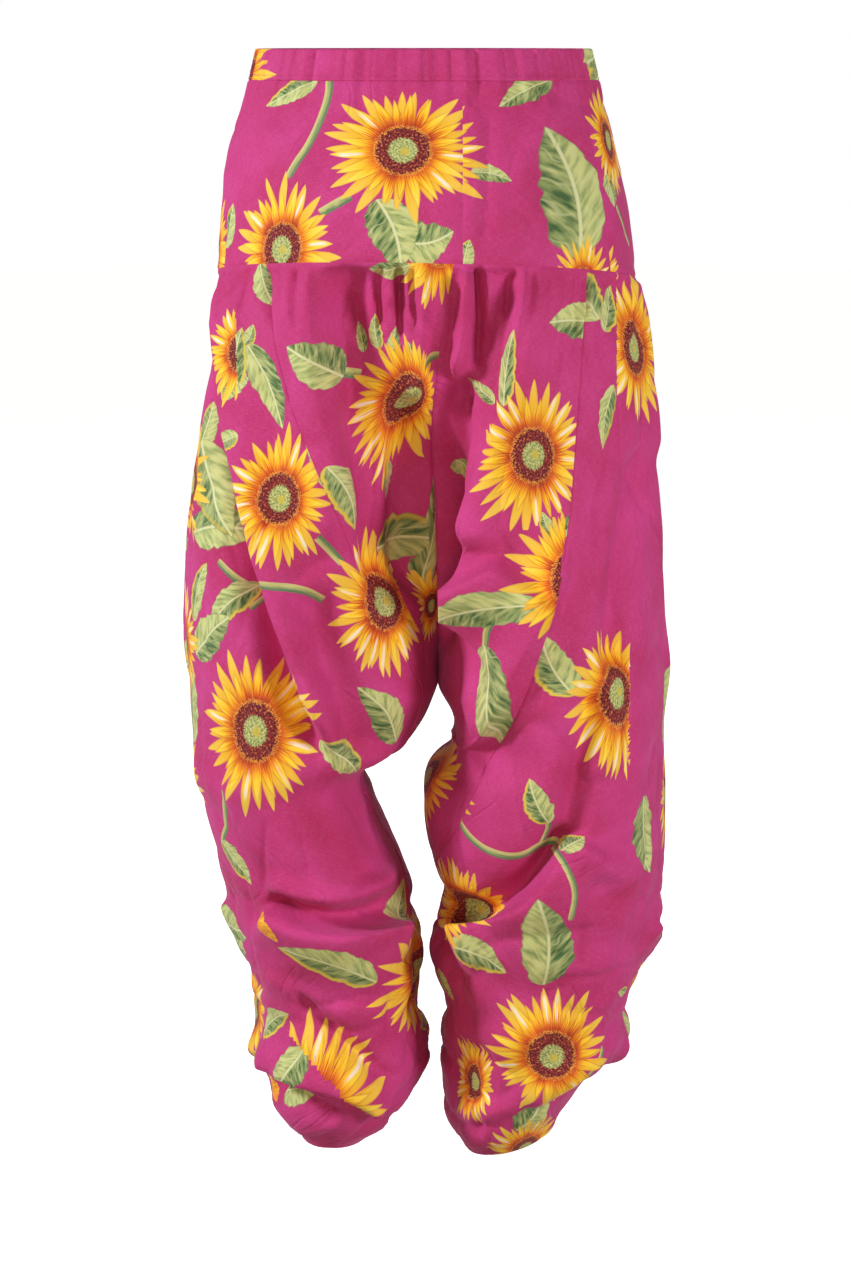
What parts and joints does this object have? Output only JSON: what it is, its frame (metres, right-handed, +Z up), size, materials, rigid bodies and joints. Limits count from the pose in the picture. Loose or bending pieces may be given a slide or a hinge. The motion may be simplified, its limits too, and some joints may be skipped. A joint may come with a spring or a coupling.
{
  "type": "patiala pants",
  "caption": "Baggy printed cotton pants shaped as worn, hollow, with a fitted yoke, pleated gussets, a low crotch and full legs gathered in at the ankles.",
  "frame": {"origin": "middle of the waist opening at the top edge, where the wearer holds the garment up", "axes": "+Z up out of the waist, -Y toward the wearer's back, -X toward the wearer's left"},
  "size_m": [0.4497, 0.3374, 1.0211],
  "materials": {
    "casing_cotton": "plain-weave cotton, gathered",
    "yoke_cotton": "printed plain-weave cotton",
    "leg_cotton": "printed plain-weave cotton, soft creases"
  },
  "bodies": {
    "root": {"waist_casing": "casing_cotton", "yoke_back_left": "yoke_cotton", "yoke_back_right": "yoke_cotton", "yoke_front": "yoke_cotton", "leg_left_panel": "leg_cotton", "leg_left_gusset": "leg_cotton", "leg_right_panel": "leg_cotton", "leg_right_gusset": "leg_cotton"}
  },
  "joints": []
}
